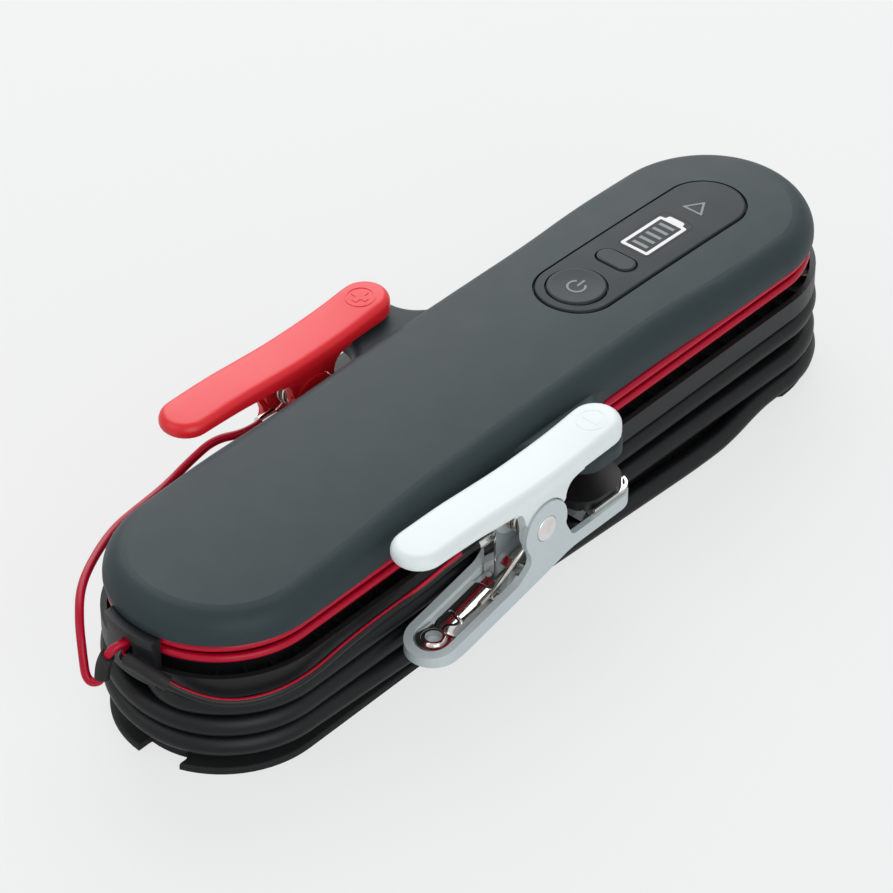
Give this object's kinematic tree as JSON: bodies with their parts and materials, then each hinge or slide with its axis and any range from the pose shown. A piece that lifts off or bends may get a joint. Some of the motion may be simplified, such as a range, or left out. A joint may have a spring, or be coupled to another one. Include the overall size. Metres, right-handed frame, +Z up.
{
  "type": "vehicle battery charging pack",
  "caption": "Long low charging pack with a round-ended body, side ears gripped by two spring clamps, and its clamp leads and mains cable wound round the waist.",
  "frame": {"origin": "centre of the base's flat underside, on the surface the pack rests on", "axes": "+X along the body towards the control panel end, +Z up, so the white clamp is on the -Y side and the red one on the +Y side"},
  "size_m": [0.3148, 0.129, 0.0651],
  "materials": {
    "body_grey": "fine matte texture",
    "panel_dark": "matte dark insert",
    "window_grey": "tinted clear plastic",
    "button_grey": "matte rubberised cap",
    "board_green": "circuit board laminate",
    "switch_black": "moulded switch",
    "lamp_white": "small lamp body",
    "core_dark": "pressed ferrite core",
    "can_blue": "sleeved aluminium can",
    "sink_metal": "extruded aluminium",
    "base_black": "matte moulded plastic",
    "screw_steel": "zinc-plated steel",
    "rubber_black": "soft rubber",
    "cable_black": "satin cable sheath",
    "plug_black": "moulded plug",
    "pin_metal": "nickel-plated brass",
    "lead_red": "satin red insulation",
    "lead_black": "satin black insulation",
    "clamp_red": "glossy red moulding",
    "contact_nickel": "nickel-plated strip",
    "spring_steel": "plated spring wire",
    "clamp_blue_grey": "smooth pale moulding",
    "clamp_white": "smooth white moulding"
  },
  "bodies": {
    "charger": {"top_shell": "body_grey", "control_panel": "panel_dark", "battery_window": "window_grey", "warning_window": "window_grey", "display_board": "board_green", "push_switches": "switch_black", "status_lamps": "lamp_white", "circuit_board": "board_green", "transformer": "core_dark", "capacitors": "can_blue", "heat_sink": "sink_metal", "power_transistors": "switch_black", "middle_housing": "body_grey", "base_shell": "base_black", "housing_screws": "screw_steel", "lead_anchor": "base_black", "lead_gland": "rubber_black", "mains_guard": "rubber_black", "mains_winding": "cable_black", "mains_tail": "cable_black", "mains_plug": "plug_black", "plug_pins": "pin_metal", "positive_lead_winding": "lead_red", "positive_lead": "lead_red", "positive_lead_sleeve": "rubber_black", "negative_lead_winding": "lead_black", "negative_lead": "lead_black", "negative_lead_sleeve": "rubber_black", "positive_clamp_base": "clamp_red", "positive_clamp_contact": "contact_nickel", "positive_lead_terminal": "contact_nickel", "positive_clamp_pin": "pin_metal", "positive_clamp_spring": "spring_steel", "negative_clamp_base": "clamp_blue_grey", "negative_clamp_contact": "contact_nickel", "negative_lead_terminal": "contact_nickel", "negative_clamp_pin": "pin_metal", "negative_clamp_spring": "spring_steel"},
    "power_button": {"power_button": "button_grey"},
    "mode_button": {"mode_button": "button_grey"},
    "positive_clamp_lever": {"positive_clamp_lever": "clamp_red", "positive_clamp_upper_jaw": "contact_nickel"},
    "negative_clamp_lever": {"negative_clamp_lever": "clamp_white", "negative_clamp_upper_jaw": "contact_nickel"}
  },
  "joints": [
    {"name": "power_button_press", "type": "slide", "parent": "charger", "child": "power_button", "axis": [0, 0, -1], "range_m": [0, 0.0008], "stiffness_N_per_m": 1500, "springref_m": -0.0006},
    {"name": "mode_button_press", "type": "slide", "parent": "charger", "child": "mode_button", "axis": [0, 0, -1], "range_m": [0, 0.0008], "stiffness_N_per_m": 1500, "springref_m": -0.0006},
    {"name": "positive_clamp_squeeze", "type": "hinge", "parent": "charger", "child": "positive_clamp_lever", "pos_m": [-0.0318, 0.0475, 0.0453], "axis": [0, -1, 0], "range_deg": [0, 24], "stiffness_Nm_per_rad": 0.6, "springref_deg": -22.92, "deforming": ["positive_clamp_spring"]},
    {"name": "negative_clamp_squeeze", "type": "hinge", "parent": "charger", "child": "negative_clamp_lever", "pos_m": [-0.0318, -0.0475, 0.0453], "axis": [0, -1, 0], "range_deg": [0, 24], "stiffness_Nm_per_rad": 0.6, "springref_deg": -22.92, "deforming": ["negative_clamp_spring"]}
  ]
}
